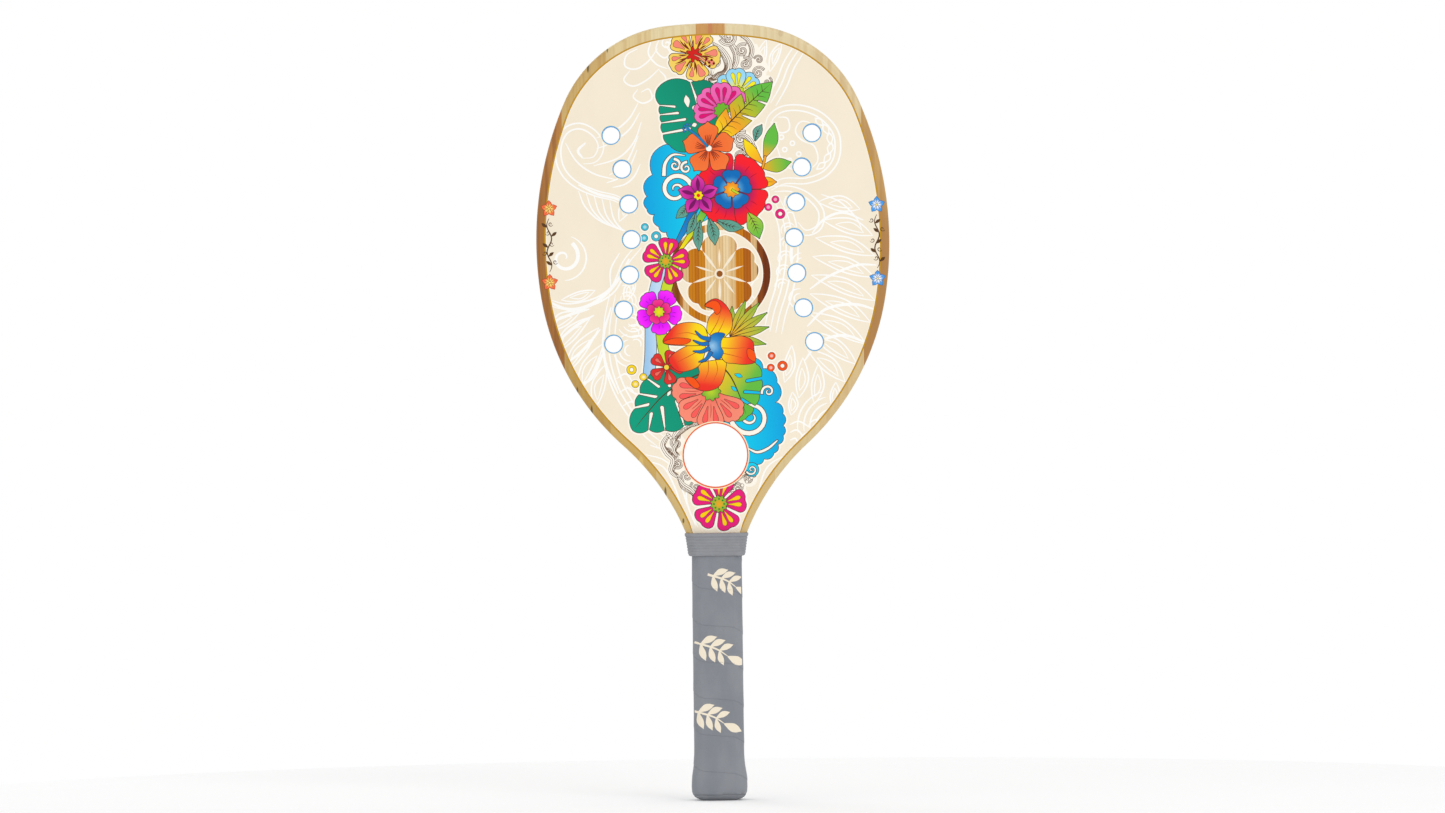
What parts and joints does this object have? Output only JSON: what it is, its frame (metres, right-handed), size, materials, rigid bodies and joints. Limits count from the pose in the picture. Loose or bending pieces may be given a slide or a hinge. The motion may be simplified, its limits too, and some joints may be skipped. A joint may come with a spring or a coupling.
{
  "type": "beach paddle racket",
  "caption": "Laminated wooden paddle with a floral printed head, air holes down each side, a throat hole, and a taped handle with a rubber collar and flared butt.",
  "frame": {"origin": "under the centre of the butt, at the lowest point of the handle", "axes": "+Z from the butt along the handle to the top of the head, +X to the right seen from the front, the front face looks toward -Y"},
  "size_m": [0.2274, 0.0318, 0.5],
  "materials": {
    "wood_centre": "satin lacquered red-brown strip",
    "wood_pale": "satin lacquered pale strip",
    "wood_edge": "satin lacquered brown strip",
    "wood_handle": "raw sanded",
    "print": "printed floral film under satin lacquer",
    "sleeve_blue": "satin blue",
    "sleeve_orange": "satin orange",
    "cap_plastic": "fine-textured dark grey",
    "steel": "bright",
    "tape": "soft matte grey wrap with cream marks",
    "collar": "matte grey, ribbed"
  },
  "bodies": {
    "root": {"strip_centre": "wood_centre", "strip_left_1": "wood_pale", "strip_left_2": "wood_pale", "strip_left_3": "wood_pale", "strip_left_edge": "wood_edge", "strip_right_1": "wood_pale", "strip_right_2": "wood_pale", "strip_right_3": "wood_pale", "strip_right_edge": "wood_edge", "front_face_sheet": "print", "back_face_sheet": "print", "hole_sleeves_left": "sleeve_blue", "hole_sleeves_right": "sleeve_blue", "throat_sleeve": "sleeve_orange", "handle_cheek_front": "wood_handle", "handle_cheek_back": "wood_handle", "butt_cap": "cap_plastic", "butt_cap_nails": "steel", "grip_tape": "tape", "grip_collar": "collar"}
  },
  "joints": []
}
